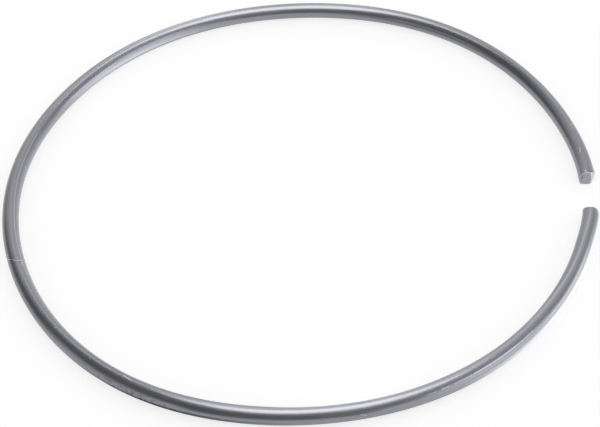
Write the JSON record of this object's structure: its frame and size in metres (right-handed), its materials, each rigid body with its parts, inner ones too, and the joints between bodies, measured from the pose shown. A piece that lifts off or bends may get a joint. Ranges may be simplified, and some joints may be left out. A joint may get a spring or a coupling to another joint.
{
  "type": "round-wire retaining ring",
  "caption": "Open retaining ring of round spring-steel wire that snaps into a groove round a shaft and holds parts on it.",
  "frame": {"origin": "middle of the ring, on its axis and halfway up the wire", "axes": "+Z along the ring's axis, upwards as it lies flat; +X through the middle of the gap between its ends; the end with the blade's flat is on the +Y side"},
  "size_m": [0.1152, 0.1154, 0.0032],
  "materials": {
    "bright_spring_steel": "bright drawn wire with fine lengthwise drawing lines, cropped ends duller"
  },
  "bodies": {
    "root": {"retaining_ring": "bright_spring_steel"}
  },
  "joints": []
}
